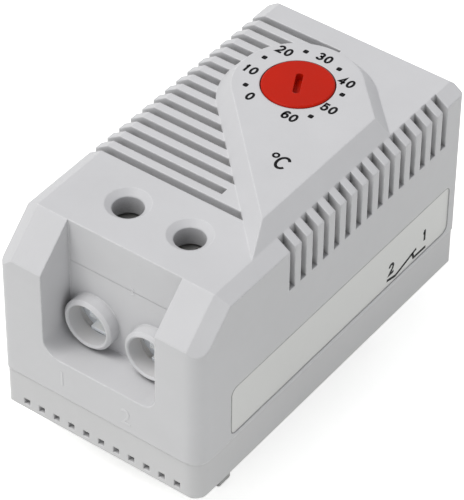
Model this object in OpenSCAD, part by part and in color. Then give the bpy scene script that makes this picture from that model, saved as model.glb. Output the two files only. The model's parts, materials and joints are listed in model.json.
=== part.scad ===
// Small mechanical thermostat for a 35 mm mounting rail, built as separate pieces.
// It lies on its rail hooks with the dial face up: X is its width, Y its length.
// Inner heights are measured from the underside of the rear cover.

/* [Housing] */
// Width of the housing, along the rail
body_w = 33; // [32:0.5:38]
// Length of the housing, across the rail
body_l = 60; // [59:0.5:66]
// Height of the top face above the rear cover's underside
body_h = 32.2; // [31.8:0.2:36.8]
// Height of the joint line between housing and rear cover
parting_h = 6.4; // [6:0.1:6.8]
// Wall thickness of the housing
wall_t = 1.6; // [1.4:0.1:1.8]
// Radius of the upright corner left of the terminals
left_corner_r = 1.3; // [1:0.1:2]
// Radius of the upright corner right of the terminals, beside the label
right_corner_r = 2.5; // [2.2:0.1:3.2]
// Radius of the two upright corners at the dial
far_corner_r = 0.5; // [0.4:0.1:1.2]
// Chamfer of the long top edges, across
edge_chamfer_w = 2.1; // [1.8:0.1:2.4]
// Chamfer of the long top edges, down
edge_chamfer_h = 1.4; // [1:0.1:1.8]
// Chamfer of the far top edge
far_chamfer = 0.3; // [0.2:0.1:0.8]

/* [Terminal recess] */
// Width of the recess for the wires
recess_w = 18.7; // [18:0.1:19.4]
// Depth of the recess from the end face
recess_depth = 6; // [5.6:0.1:6.4]
// Depth of the recess floor below the wire funnels' axis
recess_floor_drop = 4.3; // [4.1:0.1:4.8]
// Radius of the recess's lower corners
recess_corner_r = 2.6; // [2:0.1:3]
// Fall of the bevel on the two ears beside the recess
ear_bevel_drop = 5.8; // [5:0.1:7]
// Distance between the two wire funnels
terminal_pitch = 10.14; // [10:0.02:10.4]
// Outer radius of a wire funnel
funnel_r = 3.94; // [3.8:0.02:4]
// Bore radius of a wire funnel
funnel_bore_r = 3.18; // [2.8:0.02:3.3]
// Reach of a wire funnel in front of the recess wall
funnel_reach = 2.15; // [1.6:0.05:2.6]
// Depth of the fine seam on the recess wall below the top face
seam_drop = 7; // [5.5:0.1:8]

/* [Screwdriver holes] */
// Radius of the holes above the terminal screws
access_r = 2.2; // [2:0.05:2.4]
// Radius of their countersinks
access_sink_r = 3.19; // [3:0.05:3.4]
// Depth of their countersinks
access_sink_h = 0.77; // [0.6:0.01:1]
// Distance from the recess wall to the holes
access_set = 7.2; // [7:0.1:7.6]
// Length of the guide below each hole, down to the clamp screw's head
guide_l = 2; // [1.6:0.1:2.4]

/* [Vent slots] */
// Number of slots along each long edge
slot_n = 15; // [10:1:15]
// Distance between slots
slot_pitch = 2.53; // [2.4:0.01:2.55]
// Width of a slot
slot_w = 1.25; // [1:0.05:1.4]
// Distance from the recess wall to the first slot
slot_set = 14.1; // [13.8:0.1:14.4]
// Depth of the slots' lower ends below the top face
slot_drop = 8.2; // [6:0.1:9]
// Where the short second slot ends, from the middle
short_slot_x = 3.6; // [2:0.1:4.5]
// Where the farthest slot ends, left of the dial's middle
last_slot_x = 1.3; // [0.5:0.1:3]
// Number of square vents in each end of the rear cover
vent_n = 11; // [5:1:11]
// Distance between square vents
vent_pitch = 2.55; // [2.4:0.01:2.6]
// Side of a square vent
vent_side = 1.05; // [0.8:0.05:1.2]

/* [Dial] */
// Distance from the far end face to the dial's middle
dial_set = 16; // [15.6:0.1:16.6]
// Height of the raised dial plate above the top face
plate_h = 2.5; // [2.2:0.1:2.8]
// Radius of the dial plate's round end, at its foot
plate_foot_r = 11.1; // [10.9:0.05:11.3]
// How far the plate's slanted wall runs in
plate_run = 2.05; // [1.6:0.05:2.3]
// Radius of the red dial
dial_r = 5.07; // [4.9:0.01:5.2]
// How far the dial stands proud of its plate
dial_proud = 0.2; // [0.1:0.05:0.4]
// Angle between the ends of the scale, in degrees
scale_sweep = 302; // [280:1:302]
// Angle of the scale's lowest mark, in degrees
scale_start = 238.3; // [236:0.1:240]
// Lowest marked temperature
scale_low = 0; // [0:5:10]
// Highest marked temperature
scale_high = 60; // [50:5:90]
// Temperature that the dial is set to
set_point = 24; // [15:0.5:45]

/* [Label panel] */
// Height of the panel's lower edge
label_foot_h = 7.1; // [7:0.05:7.4]
// Height of the panel
label_h = 8.45; // [7.5:0.05:8.6]
// Distance from the near end face to the panel
label_set = 6.95; // [6:0.05:8]
// Distance from the far end face to the panel
label_far_set = 1.8; // [1.6:0.1:2.2]
// Depth of the pocket that the panel lies in
label_pocket = 0.45; // [0.4:0.01:0.5]
// Thickness of the panel
label_t = 0.31; // [0.25:0.01:0.38]
// Radius of the panel's corners
label_corner_r = 1.2; // [0.8:0.1:1.6]

/* [Rail mount] */
// Width of the mounting rail
rail_w = 35; // [34.8:0.1:35.2]
// Thickness of the rail's flange, with play
rail_gap = 1.3; // [1.2:0.05:1.5]
// Height of the seat ribs under the rear cover
seat_h = 3; // [2.9:0.1:3.3]
// Height of a hook's lip
lip_h = 2.6; // [2.4:0.1:3]
// How far a hook's lip reaches under the rail
lip_reach = 2; // [1.8:0.1:2.2]
// Length of a hook's leg along the housing
leg_t = 3; // [2.6:0.1:3.2]
// Half width over the hooks
hook_x = 11.9; // [11.6:0.1:12]
// Travel of the sliding latch
latch_travel = 2.5; // [2.2:0.1:2.6]

/* [Mechanism] */
// Thickness of the bimetal strip
bimetal_t = 0.6; // [0.5:0.05:0.7]
// Thickness of the setting leaf
leaf_t = 0.4; // [0.3:0.05:0.5]
// Width of both strips
strip_w = 6; // [5.6:0.1:6.2]
// Thickness of the bus bars
busbar_t = 1; // [0.9:0.05:1.1]
// Width of the bus bars
busbar_w = 5; // [4.6:0.1:5.1]
// Air gap between the open contacts
contact_gap = 0.4; // [0.38:0.01:0.6]
// Free height for a wire in an open clamp
wire_space_h = 5.4; // [5.2:0.1:5.5]
// Travel of a clamp cage
clamp_travel = 3.5; // [3:0.1:3.5]
// Running clearance of screws and slides
run_gap = 0.05; // [0.02:0.01:0.08]

/* [Hidden] */

// Overrun of every cut, and number of sides of large and small round shapes
over = 0.2;
round_fn = 96;
small_fn = 40;
// Plain gap between pieces that only lie side by side
side_gap = 0.1;
// Gap beside sliding pieces
slide_gap = 0.2;
// Gap round the label panel, which is stuck into its pocket
label_gap = 0.02;
diagonal = sqrt(2);

// Height of the rear cover's underside above the hook tips
base_z = seat_h + rail_gap + lip_h;

// Housing
inner_w = body_w - 2 * wall_t;
inner_l = body_l - 2 * wall_t;
inner_r = 0.6;
corners = [left_corner_r, right_corner_r, far_corner_r, far_corner_r];
ceiling_h = body_h - wall_t;
recess_wall_y = recess_depth - body_l / 2;
funnel_front_y = recess_wall_y - funnel_reach;
access_y = recess_wall_y + access_set;
access_guide_t = 1.2;
access_guide_r = access_r + access_guide_t;
bevel_step = 0.05;
seam_w = 0.1;
seam_d = 0.04;
first_slot_y = recess_wall_y + slot_set;

// Dial
dial_y = body_l / 2 - dial_set;
plate_top_h = body_h + plate_h;
plate_foot_x = body_w / 2 - edge_chamfer_w;
plate_top_r = plate_foot_r - plate_run;
arm_inset = 0.04;
dial_gap = 0.15;
dial_top_h = plate_top_h + dial_proud;
flange_r = 6.1;
flange_t = 1.1;
dial_land_t = 2;
dial_pocket_r = 7.6;
lug_reach = 1.1;
lug_w = 1.8;
stop_play = 0.6;
stop_half_angle = (360 - scale_sweep) / 2 - asin(lug_w / 2 / flange_r) - stop_play;
stop_gap = 0.3;
dial_slot_l = 4.3;
dial_slot_w = 1;
dial_slot_r = 0.48;
dial_slot_d = 1.2;
dial_bevel = 0.2;
degrees_per_mark = scale_sweep / (scale_high - scale_low);
pointer_angle = scale_start - (set_point - scale_low) * degrees_per_mark;
stop_angle = scale_start - scale_sweep - (360 - scale_sweep) / 2;

// Bridge under the dial, with the bush and the setting screw
bridge_t = 1;
bridge_w = 8;
bridge_screw_set = 9.2;
bridge_end_r = 2.2;
bridge_z = ceiling_h - bridge_t;
bridge_screw_r = 1;
bridge_head_r = 1.9;
bridge_head_h = 1.2;
bridge_screw_bite = 1.5;
washer_t = 0.5;
dial_foot_h = ceiling_h + washer_t + 2 * side_gap;
washer_in_r = 3.4;
washer_out_r = 5.8;
bush_r = 2.6;
bush_l = 4;
bush_collar_r = 3.4;
bush_collar_h = 1.1;
setting_screw_r = 1.5;
blade_t = 1;
blade_w = 3.3;
thread_pitch = 0.5;
feed = thread_pitch * scale_sweep / 360;
blade_z = ceiling_h + side_gap + feed;
socket_d = 1.8;
blade_top = dial_foot_h + socket_d - feed;
tip_l = 0.8;
tip_r = 0.7;
tip_gap = 0.06;

// Clamps and bus bars, from the top face down, and the stack of strips between them
terminal_x = terminal_pitch / 2;
cage_w = 7.4;
cage_wall = 1;
cage_top_t = 1.8;
cage_gap = 0.4;
cage_reach = 3.6;
cage_bar_gap = 0.3;
tongue_w = 2.8;
tongue_t = 0.5;
tongue_reach = 1.35;
funnel_seat_r = 3.7;
funnel_seat_l = 1.1;
funnel_lip = 0.4;
funnel_mouth = 0.2;
clamp_screw_r = 1.5;
clamp_head_r = 2.7;
clamp_head_h = 1.5;
clamp_slot_w = 0.8;
clamp_slot_d = 1;
guide_foot_z = ceiling_h - guide_l;
clamp_head_z = guide_foot_z - cage_gap - clamp_head_h;
cage_top_z = clamp_head_z - cage_bar_gap - clamp_travel - cage_top_t;
busbar_top = cage_top_z - cage_bar_gap;
busbar_z = busbar_top - busbar_t;
terminal_h = busbar_z - wire_space_h / 2;
cage_foot_z = terminal_h - wire_space_h / 2 - cage_wall;
cage_front_y = recess_wall_y + wall_t + cage_gap;
cage_back_y = access_y + cage_reach;
recess_floor_h = terminal_h - recess_floor_drop;
seam_h = body_h - seam_drop;
slot_foot_h = body_h - slot_drop;
busbar_set = 0.6;
busbar_front_y = cage_front_y + busbar_set;
stack_set = 10.84;
stack_y = access_y + stack_set;
stack_l = 7;
stack_r = 3.2;
stack_hole_r = 1.9;
stack_screw_r = 1.25;
stack_head_r = 2.4;
stack_head_h = 1.8;
stack_washer_t = 0.6;
sleeve_r = stack_hole_r - side_gap;
leaf_z = busbar_z - leaf_t;
contact_r = 1.6;
leaf_contact_h = 1.4;
bimetal_contact_h = 1.8;
bimetal_top = leaf_z - leaf_contact_h - contact_gap - bimetal_contact_h;
bimetal_z = bimetal_top - bimetal_t;
low_bar_z = bimetal_z - busbar_t;
post_top = low_bar_z - stack_washer_t;
strip_root_y = stack_y - stack_l / 2;
leaf_reach = 7.5;
contact_reach = 6;
bimetal_end_gap = 1.9;
leaf_end_y = dial_y + leaf_reach;
contact_y = dial_y + contact_reach;
bimetal_end_y = inner_l / 2 - bimetal_end_gap;
riser_gap = 0.6;
riser_y = cage_back_y + riser_gap + busbar_t;
rest_y = riser_y - busbar_t + slide_gap;
armature_t = 0.8;
armature_l = 4;
armature_w = 5;
armature_y = bimetal_end_y - armature_l / 2;
snap_travel = 1.2;
magnet_t = 2;
magnet_top = bimetal_z - armature_t - snap_travel;
magnet_grip = 0.8;

// Rear cover
cover_inset = 0.15;
cover_w = body_w - 2 * cover_inset;
cover_l = body_l - 2 * cover_inset;
cover_wall = wall_t - cover_inset;
cover_floor_t = 1.2;
cover_bevel = 0.2;
vent_h = 1.45;
vent_groove_l = 4;
rim_h = 1.4;
rim_t = 0.9;
tab_w = 5;
tab_t = 1.2;
tab_y = 14;
tab_h = 5;
tab_hook = 0.45;
tab_hook_h = 1.2;
tab_pocket = tab_hook + side_gap;
barrier_t = 1.2;
barrier_gap = 4.8;
barrier_h = ceiling_h - barrier_gap;
rest_w = 3.8;
rest_l = 1.4;

// Rail mount
hook_leg_y = rail_w / 2 + side_gap;
hook_in_x = 5;
hook_bevel = 0.8;
rib_in_x = 8;
rib_l = 8;
latch_half_w = 6;
latch_plate_t = seat_h - slide_gap - side_gap;
latch_leg_y = -rail_w / 2;
latch_in_y = -4;
latch_end_gap = 0.3;
latch_out_set = latch_travel + latch_end_gap;
latch_out_y = latch_out_set - body_l / 2;
latch_slot_w = 4.4;
latch_slot_l = 1.2;
latch_slot_set = 1.4;
latch_foot_x = 13.1;
latch_foot_l = 2.1;
latch_foot_h = 2.4;
guide_t = 1.5;
guide_lip_t = 1.1;
guide_lip_w = 1.5;
inner_guide_l = 6;
inner_guide_y = -11;
outer_guide_l = 2.5;
outer_guide_y = -26;
window_half_w = 1.9;
window_l = 9.5;
window_set = 0.5;
window_y = latch_in_y - window_set - window_l;
peg_half_w = 1.5;
peg_l = 1.5;
peg_play = 0.3;
peg_y = window_y + peg_play;
spring_r = 1;
spring_wire_r = 0.2;
spring_curls = 6;
spring_rings = 8;
spring_sides = 6;
spring_z = -seat_h / 2;
spring_y = peg_y + peg_l + spring_wire_r;
spring_l = window_y + window_l - spring_y - spring_wire_r;

// Where the middle of each slot lies along the housing
function slot_y(i) = first_slot_y + i * slot_pitch;
// The same radius for four corners
function even(r) = [r, r, r, r];
// How far each slot on the left may run towards the dial plate
function slot_stop(i) = i == 1 ? short_slot_x
    : i == slot_n - 1 ? -last_slot_x
    : slot_y(i) < dial_y ? plate_foot_x : 0;
// Outline of the housing across its width, drawn in by an inset
function across(inset) = let (w = body_w / 2 - inset, top = body_h - inset)
    [[-w, 0], [w, 0], [w, top - edge_chamfer_h], [w - edge_chamfer_w, top],
     [edge_chamfer_w - w, top], [-w, top - edge_chamfer_h]];
// Outline of the housing along its length, drawn in by an inset
function along(inset) = let (l = body_l / 2 - inset, top = body_h - inset)
    [[-l, 0], [l, 0], [l, top - far_chamfer], [l - far_chamfer, top], [-l, top]];
// Outline of the long prism whose top is the ears' bevel, with the chamfer of the long edges
function bevel_section(inset) = let (w = body_w / 2 - inset, out = edge_chamfer_w,
    flat = w - edge_chamfer_w - bevel_step,
    low = (flat - w - out) * edge_chamfer_h / edge_chamfer_w - inset)
    [[-w - out, -2 * body_l], [w + out, -2 * body_l], [w + out, low], [flat, -inset],
     [-flat, -inset], [-w - out, low]];

// Points and least gap of the latch spring
function spring_point(t) =
    [spring_r * cos(360 * spring_curls * t), spring_y + spring_l * t,
     spring_z + spring_r * sin(360 * spring_curls * t)];
spring_steps = spring_curls * spring_rings;
spring_path = [for (i = [0:spring_steps]) spring_point(i / spring_steps)];
spring_gap = min([for (i = [0:spring_steps - spring_rings]) for (j = [spring_rings - 1:spring_rings + 1])
    if (i + j <= spring_steps) norm(spring_path[i] - spring_path[i + j])]) - 2 * spring_wire_r;
echo(spring_gap = spring_gap);

// Lifts a piece from the rear cover's underside to its height above the hook tips
module lift() translate([0, 0, base_z]) children();

// Extrudes an X-Z outline along Y, or a Y-Z outline along X, both centred
module along_y(l) rotate([90, 0, 0]) linear_extrude(l, center = true) children();
module along_x(w) rotate([90, 0, 90]) linear_extrude(w, center = true) children();

// Plain block from its low corner and its size, centred in X about x
module block(x, y, z, w, l, h) translate([x - w / 2, y, z]) cube([w, l, h]);

// Upright round bar, with a small or a large number of sides
module bar(x, y, z, r, h, sides = small_fn) translate([x, y, z]) cylinder(h, r, r, $fn = sides);

// Rectangle with a radius at each corner: near left, near right, far left, far right
module rounded_rect(w, l, r) {
    x = w / 2;
    y = l / 2;
    polygon([[r[0] - x, -y], [x - r[1], -y], [x, r[1] - y], [x, y - r[3]],
        [x - r[3], y], [r[2] - x, y], [-x, y - r[2]], [-x, r[0] - y]]);
    translate([r[0] - x, r[0] - y]) circle(r[0], $fn = round_fn);
    translate([x - r[1], r[1] - y]) circle(r[1], $fn = round_fn);
    translate([r[2] - x, y - r[2]]) circle(r[2], $fn = round_fn);
    translate([x - r[3], y - r[3]]) circle(r[3], $fn = round_fn);
}

// The housing's outer form or, drawn in by the wall, its hollow
module shell_form(inset, foot_h, radii) intersection() {
    translate([0, 0, foot_h]) linear_extrude(body_h - inset - foot_h)
        rounded_rect(body_w - 2 * inset, body_l - 2 * inset, radii);
    along_y(body_l) polygon(across(inset));
    along_x(body_w) polygon(along(inset));
    translate([0, recess_wall_y - bevel_step, body_h]) rotate([atan(ear_bevel_drop / recess_depth), 0, 0])
        along_y(4 * body_l) polygon(bevel_section(inset));
}

// Section of the terminal recess, grown by a wall where it is lined
module recess_section(grow) {
    w = recess_w + 2 * grow;
    r = recess_corner_r + grow;
    floor_h = recess_floor_h - grow;
    translate([-w / 2, floor_h + r]) square([w, body_h + over - floor_h - r]);
    translate([r - w / 2, floor_h]) square([w - 2 * r, 2 * r]);
    for (sx = [-1, 1]) translate([sx * (w / 2 - r), floor_h + r]) circle(r, $fn = round_fn);
}

module recess_space(grow) {
    l = recess_depth + grow + over;
    translate([0, recess_wall_y + grow - l / 2, 0]) along_y(l) recess_section(grow);
}

// The dial plate: a round end about the dial and a straight arm to the long edge at 45 degrees,
// whose sides meet the round end a hair inside it. Its walls run on above and below.
module plate_form(foot_r, top_r, z, h) translate([0, dial_y, z]) {
    low = foot_r + (foot_r - top_r) * over / h;
    high = top_r - (foot_r - top_r) * over / h;
    translate([0, 0, -over]) cylinder(h + 2 * over, low, high, $fn = round_fn);
    rotate([0, 0, -45]) translate([body_w / 2, 0, 0]) along_x(body_w)
        polygon([[arm_inset - low, -over], [low - arm_inset, -over],
            [high - arm_inset, h + over], [arm_inset - high, h + over]]);
}

// Where the plate's wall along the long edge stands at a height
function plate_side_x(z) = plate_foot_x - plate_run * (z - body_h) / plate_h;

module dial_plate() intersection() {
    plate_form(plate_foot_r, plate_top_r, body_h, plate_h);
    along_y(body_l) polygon([[-body_w / 2, body_h - over / 2],
        [plate_side_x(body_h - over / 2), body_h - over / 2],
        [plate_side_x(plate_top_h), plate_top_h], [-body_w / 2, plate_top_h]]);
}

// One slot, from its stop on the top face, over the chamfer and down the side
module slot(side, stop) mirror([side < 0 ? 1 : 0, 0, 0]) along_y(slot_w)
    polygon([[stop, body_h + over], [body_w / 2 + over, body_h + over],
        [body_w / 2 + over, slot_foot_h], [body_w / 2 - wall_t - over, slot_foot_h],
        [body_w / 2 - wall_t - over, ceiling_h - over], [stop, ceiling_h - over]]);

module vent_slots() difference() {
    for (i = [0:slot_n - 1]) translate([0, slot_y(i), 0]) {
        slot(-1, -slot_stop(i));
        slot(1, plate_foot_x);
    }
    intersection() {
        plate_form(plate_foot_r, plate_foot_r, ceiling_h - 2 * over, wall_t + 4 * over);
        block(plate_foot_x - body_w / 2, -body_l / 2, ceiling_h - 2 * over, body_w, body_l,
            wall_t + 4 * over);
    }
}

module access_hole(x) {
    bar(x, access_y, guide_foot_z - over, access_r, body_h - guide_foot_z + 2 * over, round_fn);
    translate([x, access_y, body_h - access_sink_h])
        cylinder(access_sink_h, access_r, access_sink_r, $fn = round_fn);
    bar(x, access_y, body_h, access_sink_r, over, round_fn);
}

module funnel(x) translate([x, funnel_front_y, terminal_h]) rotate([-90, 0, 0]) {
    cylinder(funnel_lip, funnel_r - funnel_lip, funnel_r, $fn = round_fn);
    translate([0, 0, funnel_lip]) cylinder(funnel_reach + over - funnel_lip, funnel_r, funnel_r,
        $fn = round_fn);
}

// A funnel's bore, with its chamfered mouth and a wider seat behind for the cage's tongue
module funnel_bore(x) translate([x, funnel_front_y, terminal_h]) rotate([-90, 0, 0]) {
    translate([0, 0, -over]) cylinder(funnel_reach + wall_t + 2 * over, funnel_bore_r, funnel_bore_r,
        $fn = round_fn);
    translate([0, 0, -over]) cylinder(funnel_mouth + over, funnel_bore_r + funnel_mouth + over,
        funnel_bore_r, $fn = round_fn);
    translate([0, 0, funnel_reach + wall_t - funnel_seat_l]) cylinder(funnel_seat_l + over, funnel_seat_r,
        funnel_seat_r, $fn = round_fn);
}

// The dial's seat in the plate, open below
module dial_seat() {
    bar(0, dial_y, ceiling_h - over, dial_r + dial_gap, plate_top_h - ceiling_h + 2 * over, round_fn);
    bar(0, dial_y, ceiling_h - over, dial_pocket_r, plate_top_h - dial_land_t - ceiling_h + over, round_fn);
}

// Two stop faces that the dial's lug meets at the ends of the scale
module dial_stop() translate([0, dial_y, 0]) intersection() {
    difference() {
        bar(0, 0, ceiling_h, dial_pocket_r + over, plate_top_h - dial_land_t - ceiling_h + over, round_fn);
        bar(0, 0, ceiling_h - over, flange_r + stop_gap, plate_top_h - ceiling_h, round_fn);
    }
    translate([0, 0, ceiling_h]) rotate([0, 0, stop_angle]) linear_extrude(plate_top_h - ceiling_h)
        polygon([[0, 0], for (a = [-1, 1]) 2 * dial_pocket_r * [cos(a * stop_half_angle),
            sin(a * stop_half_angle)]]);
}

module at_bridge_screws() for (s = [-1, 1])
    translate([s * bridge_screw_set / diagonal, dial_y - s * bridge_screw_set / diagonal, 0]) children();

module label_outline(w, l, r) rounded_rect(l, w, even(r));

module label_pocket_cut(depth, gap) {
    l = body_l - label_set - label_far_set + 2 * gap;
    translate([body_w / 2 - label_pocket, (label_set - label_far_set) / 2, label_foot_h + label_h / 2])
        rotate([90, 0, 90]) linear_extrude(depth)
            label_outline(label_h + 2 * gap, l, label_corner_r + gap);
}

module tab_pockets() for (sx = [-1, 1], sy = [-1, 1])
    block(sx * (inner_w / 2 + tab_pocket / 2 - over / 2), sy * tab_y - tab_w / 2 - slide_gap,
        parting_h + tab_h - tab_hook_h - slide_gap, tab_pocket + over, tab_w + 2 * slide_gap,
        tab_hook_h + 2 * slide_gap);

module housing() lift() color([0.80, 0.81, 0.82]) difference() {
    union() {
        difference() {
            union() {
                shell_form(0, parting_h, corners);
                dial_plate();
            }
            difference() {
                shell_form(wall_t, parting_h - over, even(inner_r));
                intersection() {
                    recess_space(wall_t);
                    block(0, -body_l, parting_h, body_w, body_l, body_h);
                }
            }
            recess_space(0);
            vent_slots();
            dial_seat();
        }
        dial_stop();
        for (s = [-1, 1]) {
            funnel(s * terminal_x);
            bar(s * terminal_x, access_y, guide_foot_z, access_guide_r, ceiling_h - guide_foot_z + over);
        }
    }
    for (s = [-1, 1]) {
        funnel_bore(s * terminal_x);
        access_hole(s * terminal_x);
    }
    at_bridge_screws() bar(0, 0, ceiling_h - over, bridge_screw_r + run_gap, bridge_screw_bite + 2 * over);
    label_pocket_cut(label_pocket + over, 0);
    tab_pockets();
    block(0, recess_wall_y - over, seam_h, recess_w, seam_d + over, seam_w);
}

module label_plate() lift() color([0.76, 0.76, 0.77]) label_pocket_cut(label_t, -label_gap);

// Rear cover: a shallow tray with its rim, tabs, inner posts and rail hooks
module tray_form(inset, foot_h, top_h, radii) intersection() {
    translate([0, 0, foot_h]) linear_extrude(top_h - foot_h)
        rounded_rect(cover_w - 2 * inset, cover_l - 2 * inset, radii);
    along_y(body_l) polygon(bevelled(cover_w / 2 - inset, foot_h, top_h));
    along_x(body_w) polygon(bevelled(cover_l / 2 - inset, foot_h, top_h));
}

function bevelled(half, foot_h, top_h) = [[cover_bevel - half, foot_h], [half - cover_bevel, foot_h],
    [half, foot_h + cover_bevel], [half, top_h], [-half, top_h], [-half, foot_h + cover_bevel]];

module cover_rim() difference() {
    translate([0, 0, cover_floor_t]) linear_extrude(parting_h + rim_h - cover_floor_t)
        rounded_rect(inner_w - 2 * side_gap, inner_l - 2 * side_gap, even(inner_r - side_gap));
    translate([0, 0, cover_floor_t - over]) linear_extrude(parting_h + rim_h)
        square([inner_w - 2 * side_gap - 2 * rim_t, inner_l - 2 * side_gap - 2 * rim_t], center = true);
}

module snap_tab(sx, y) {
    block(sx * (inner_w / 2 - side_gap - tab_t / 2), y - tab_w / 2, cover_floor_t, tab_t, tab_w,
        parting_h + tab_h - cover_floor_t);
    block(sx * (inner_w / 2 - side_gap + tab_hook / 2 - over / 2), y - tab_w / 2,
        parting_h + tab_h - tab_hook_h, tab_hook + over, tab_w, tab_hook_h);
}

module end_vents() for (i = [0:vent_n - 1], s = [-1, 1])
    block((i - (vent_n - 1) / 2) * vent_pitch,
        s * (cover_l / 2 - vent_groove_l / 2) - vent_groove_l / 2 - over,
        vent_h - vent_side / 2, vent_side, vent_groove_l + 2 * over, vent_side);

// Outline of a hook in Y-Z for a rail edge on its low-Y side, from the cover down to the lip
function hook_outline(root_z) = [[hook_leg_y, root_z], [hook_leg_y, -seat_h - rail_gap],
    [hook_leg_y - lip_reach, -seat_h - rail_gap], [hook_leg_y - lip_reach, hook_bevel - base_z],
    [hook_leg_y - lip_reach + hook_bevel, -base_z], [hook_leg_y + leg_t - hook_bevel, -base_z],
    [hook_leg_y + leg_t, hook_bevel - base_z], [hook_leg_y + leg_t, root_z]];

module fixed_hooks() for (s = [-1, 1]) {
    w = hook_x - hook_in_x;
    translate([s * (hook_in_x + w / 2), 0, 0]) along_x(w) polygon(hook_outline(over));
    rib_w = hook_x - rib_in_x;
    block(s * (rib_in_x + rib_w / 2), hook_leg_y - rib_l, -seat_h, rib_w, rib_l + over, seat_h + over);
    block(s * (rib_in_x + rib_w / 2), slide_gap + side_gap - rail_w / 2, -seat_h, rib_w, rib_l,
        seat_h + over);
}

// L-shaped guides that carry the latch, two in and two out
module latch_guides() for (s = [-1, 1], g = [[inner_guide_y, inner_guide_l], [outer_guide_y,
    outer_guide_l]]) {
    x = latch_half_w + slide_gap;
    drop = seat_h + slide_gap - side_gap + guide_lip_t;
    block(s * (x + guide_t / 2), g[0], -drop, guide_t, g[1], drop + over);
    block(s * (x + (guide_t - guide_lip_w) / 2), g[0], -drop, guide_t + guide_lip_w, g[1], guide_lip_t);
}

module post(x, y, r, h) bar(x, y, cover_floor_t - over, r, h - cover_floor_t + over);

module rear_cover() lift() color([0.79, 0.79, 0.80]) difference() {
    union() {
        difference() {
            tray_form(0, 0, parting_h, [for (r = corners) r - cover_inset]);
            tray_form(cover_wall + rim_t, cover_floor_t, parting_h + over, even(inner_r));
        }
        cover_rim();
        for (sx = [-1, 1], sy = [-1, 1]) snap_tab(sx, sy * tab_y);
        post(0, stack_y, stack_r, post_top);
        block(0, cage_front_y, cover_floor_t - over, barrier_t, cage_back_y - cage_front_y,
            barrier_h - cover_floor_t + over);
        block(-terminal_x, rest_y, cover_floor_t - over, rest_w, rest_l, busbar_z - cover_floor_t + over);
        block(terminal_x, rest_y, cover_floor_t - over, rest_w, rest_l, low_bar_z - cover_floor_t + over);
        block(0, armature_y - armature_l / 2 - magnet_grip, cover_floor_t - over,
            armature_w + 2 * magnet_grip, armature_l + 2 * magnet_grip,
                magnet_top - cover_floor_t - magnet_t / 2 + over);
        fixed_hooks();
        latch_guides();
        block(0, peg_y, -latch_plate_t - side_gap, 2 * peg_half_w, peg_l, latch_plate_t + side_gap + over);
    }
    bar(0, stack_y, cover_floor_t + stack_screw_r, stack_screw_r + run_gap, post_top);
    block(0, armature_y - armature_l / 2 - side_gap, magnet_top - magnet_t, armature_w + 2 * side_gap,
        armature_l + 2 * side_gap, magnet_t);
    end_vents();
}

module dial_knob() lift() color([0.75, 0.16, 0.10]) translate([0, dial_y, 0]) rotate([0, 0, pointer_angle])
difference() {
    union() {
        bar(0, 0, dial_foot_h, dial_r, dial_top_h - dial_bevel - dial_foot_h, round_fn);
        translate([0, 0, dial_top_h - dial_bevel])
            cylinder(dial_bevel, dial_r, dial_r - dial_bevel, $fn = round_fn);
        bar(0, 0, dial_foot_h, flange_r, flange_t, round_fn);
        translate([flange_r - lug_w / 2, -lug_w / 2, dial_foot_h])
            cube([lug_reach + lug_w / 2, lug_w, flange_t]);
    }
    translate([0, 0, dial_top_h - dial_slot_d]) linear_extrude(dial_slot_d + over)
        rounded_rect(dial_slot_l, dial_slot_w, even(dial_slot_r));
    translate([-blade_w / 2 - run_gap, -blade_t / 2 - run_gap, dial_foot_h - over])
        cube([blade_w + 2 * run_gap, blade_t + 2 * run_gap, socket_d + over]);
}

module dial_washer() lift() color([0.78, 0.78, 0.76]) difference() {
    bar(0, dial_y, ceiling_h + side_gap, washer_out_r, washer_t);
    bar(0, dial_y, ceiling_h, washer_in_r, 2 * washer_t);
}

module bridge_plate() lift() color([0.80, 0.80, 0.78]) difference() {
    union() {
        translate([0, dial_y, bridge_z]) rotate([0, 0, -45]) translate([-bridge_screw_set, -bridge_w / 2, 0])
            cube([2 * bridge_screw_set, bridge_w, bridge_t]);
        at_bridge_screws() bar(0, 0, bridge_z, bridge_end_r, bridge_t);
    }
    bar(0, dial_y, bridge_z - over, bush_r + run_gap, bridge_t + 2 * over);
    at_bridge_screws() bar(0, 0, bridge_z - over, bridge_screw_r + run_gap, bridge_t + 2 * over);
}

module bridge_screws() lift() color([0.75, 0.74, 0.70]) at_bridge_screws() difference() {
    union() {
        bar(0, 0, bridge_z - bridge_head_h, bridge_head_r, bridge_head_h);
        bar(0, 0, bridge_z - over, bridge_screw_r, bridge_t + bridge_screw_bite + over);
    }
    block(0, -bridge_head_r, bridge_z - bridge_head_h - over, bridge_screw_r / 2, 2 * bridge_head_r,
        bridge_head_h / 2 + over);
}

module threaded_bush() lift() color([0.83, 0.68, 0.35]) difference() {
    union() {
        bar(0, dial_y, ceiling_h - bush_l, bush_r, bush_l);
        translate([0, dial_y, bridge_z - bush_collar_h]) cylinder(bush_collar_h, bush_collar_r,
            bush_collar_r, $fn = 6);
    }
    bar(0, dial_y, ceiling_h - bush_l - over, setting_screw_r + run_gap, bush_l + 2 * over);
}

module setting_screw() lift() color([0.83, 0.68, 0.35]) translate([0, dial_y, 0]) {
    foot_z = busbar_z + tip_gap;
    translate([0, 0, foot_z]) cylinder(tip_l, tip_r, setting_screw_r, $fn = small_fn);
    bar(0, 0, foot_z + tip_l, setting_screw_r, blade_z - foot_z - tip_l);
    translate([0, 0, blade_z]) rotate([0, 0, pointer_angle]) translate([-blade_w / 2, -blade_t / 2, 0])
        cube([blade_w, blade_t, blade_top - blade_z]);
}

// A strip of the stack, with its clamped end and its hole
module strip(z, t, end_y) difference() {
    block(0, strip_root_y, z, strip_w, end_y - strip_root_y, t);
    bar(0, stack_y, z - over, stack_hole_r, t + 2 * over);
}

module setting_leaf() lift() color([0.80, 0.62, 0.36]) strip(leaf_z, leaf_t, leaf_end_y);

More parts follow.
